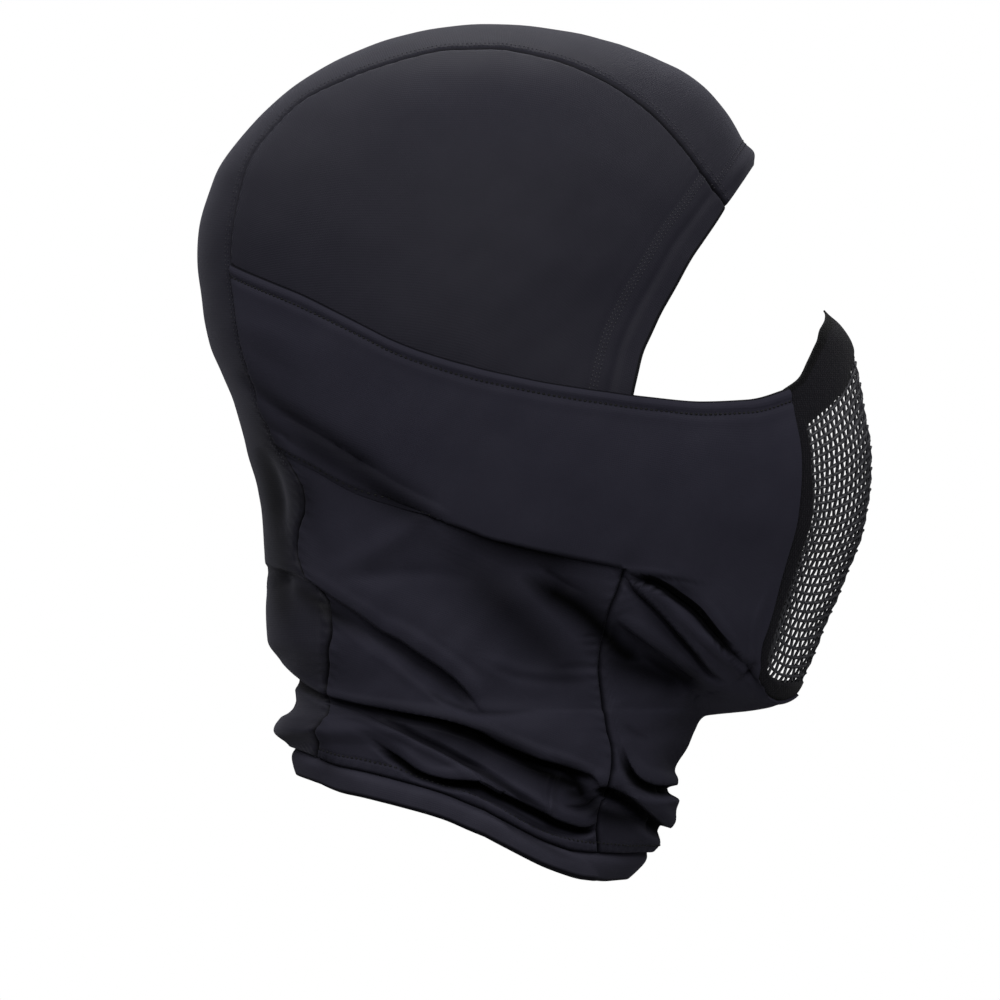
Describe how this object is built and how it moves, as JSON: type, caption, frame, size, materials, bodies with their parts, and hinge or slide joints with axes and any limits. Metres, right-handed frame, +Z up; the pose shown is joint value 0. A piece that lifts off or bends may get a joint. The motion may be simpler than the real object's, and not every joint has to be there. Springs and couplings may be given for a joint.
{
  "type": "mesh mask balaclava",
  "caption": "Close-fitting stretch knit hood with an open face, a cheek band over the sides and a curved wire mesh lower face mask bound into it.",
  "frame": {"origin": "the top of the head, on the inner face of the crown, where a head holds the hood up", "axes": "+Z up out of the crown, -Y the way the face looks, -X the wearer's right side"},
  "size_m": [0.1612, 0.229, 0.2928],
  "materials": {
    "hood_fabric": "smooth matte knit",
    "band_fabric": "smooth matte knit",
    "neck_fabric": "smooth matte knit",
    "binding_tape": "woven tape",
    "black_wire": "semi-gloss black paint"
  },
  "bodies": {
    "root": {"crown_strip": "hood_fabric", "side_panel_right": "hood_fabric", "side_panel_left": "hood_fabric", "face_panel": "band_fabric", "neck_panel_right": "neck_fabric", "neck_panel_left": "neck_fabric", "neck_hem": "neck_fabric", "mask_binding": "binding_tape", "mask_mesh": "black_wire"}
  },
  "joints": []
}
